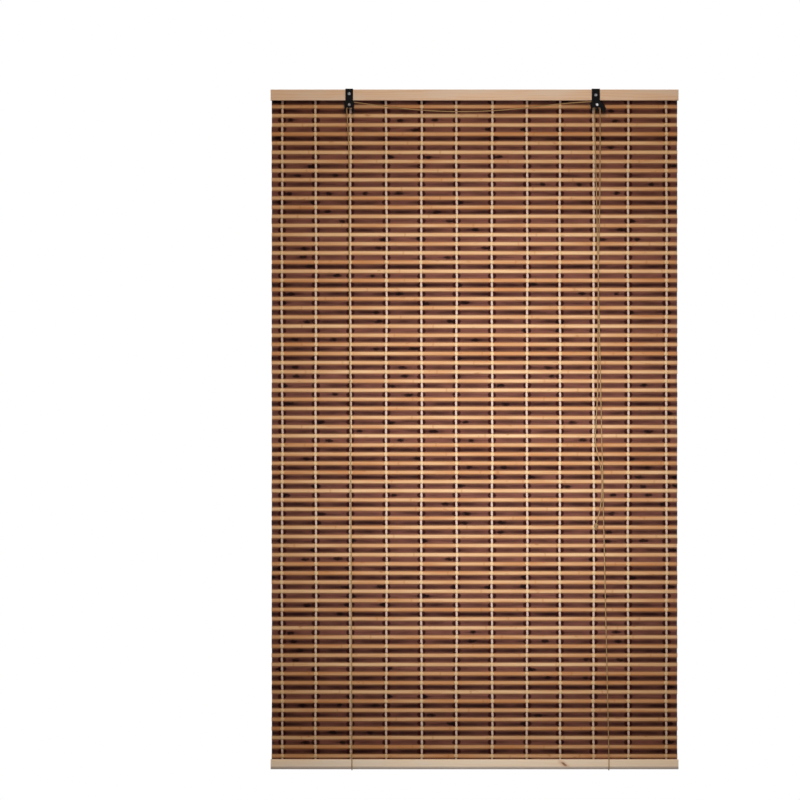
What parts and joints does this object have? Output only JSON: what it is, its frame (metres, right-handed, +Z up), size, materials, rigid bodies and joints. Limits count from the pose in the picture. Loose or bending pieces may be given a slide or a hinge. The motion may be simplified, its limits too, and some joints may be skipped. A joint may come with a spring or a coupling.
{
  "type": "bamboo roll-up blind",
  "caption": "Woven mat of light and dark bamboo slats between two wooden rails, with hanging straps, pulleys, a cord lock and lift cords that roll it up.",
  "frame": {"origin": "midway between the two hanging holes, level with the top of the head rail and the underside of the straps", "axes": "+X to the right along the rails, -Y to the front, +Z up; the blind hangs down from the origin"},
  "size_m": [0.9, 0.0422, 1.5045],
  "materials": {
    "pine": "planed, unvarnished",
    "light_bamboo": "satin split bamboo",
    "dark_bamboo": "scorched satin bamboo",
    "cotton": "twisted cotton yarn",
    "black_paint": "gloss black paint",
    "sheave_plastic": "smooth moulded",
    "zinc_steel": "bright zinc",
    "wire_steel": "drawn wire",
    "cord": "braided cord"
  },
  "bodies": {
    "blind": {"head_rail": "pine", "bottom_rail": "pine", "light_slats": "light_bamboo", "dark_slats": "dark_bamboo", "front_yarns": "cotton", "rear_yarns": "cotton", "left_strap": "black_paint", "left_rear_cheek": "black_paint", "left_axle": "zinc_steel", "right_strap": "black_paint", "right_rear_cheek": "black_paint", "sheave_washer": "zinc_steel", "right_axle": "zinc_steel", "lock_pin": "black_paint", "strap_screws": "zinc_steel", "head_staples": "wire_steel", "foot_staples": "wire_steel", "cord_staples": "wire_steel", "left_cord": "cord", "right_cord": "cord", "end_knots": "cord", "pull_knot": "cord"},
    "left_wheel": {"left_sheave": "sheave_plastic"},
    "right_front_wheel": {"right_front_sheave": "sheave_plastic"},
    "right_rear_wheel": {"right_rear_sheave": "sheave_plastic"},
    "cam": {"lock_cam": "black_paint"}
  },
  "joints": [
    {"name": "left_sheave_spin", "type": "hinge", "parent": "blind", "child": "left_wheel", "pos_m": [-0.272, -0.0264, -0.0335], "axis": [0, 1, 0], "continuous": true},
    {"name": "right_front_sheave_spin", "type": "hinge", "parent": "blind", "child": "right_front_wheel", "pos_m": [0.2747, -0.0264, -0.0335], "axis": [0, 1, 0], "continuous": true},
    {"name": "right_rear_sheave_spin", "type": "hinge", "parent": "blind", "child": "right_rear_wheel", "pos_m": [0.2747, -0.021, -0.0335], "axis": [0, 1, 0], "continuous": true},
    {"name": "lock_cam_swing", "type": "hinge", "parent": "blind", "child": "cam", "pos_m": [0.2891, -0.0237, -0.042], "axis": [0, -1, 0], "range_deg": [0, 40]}
  ]
}
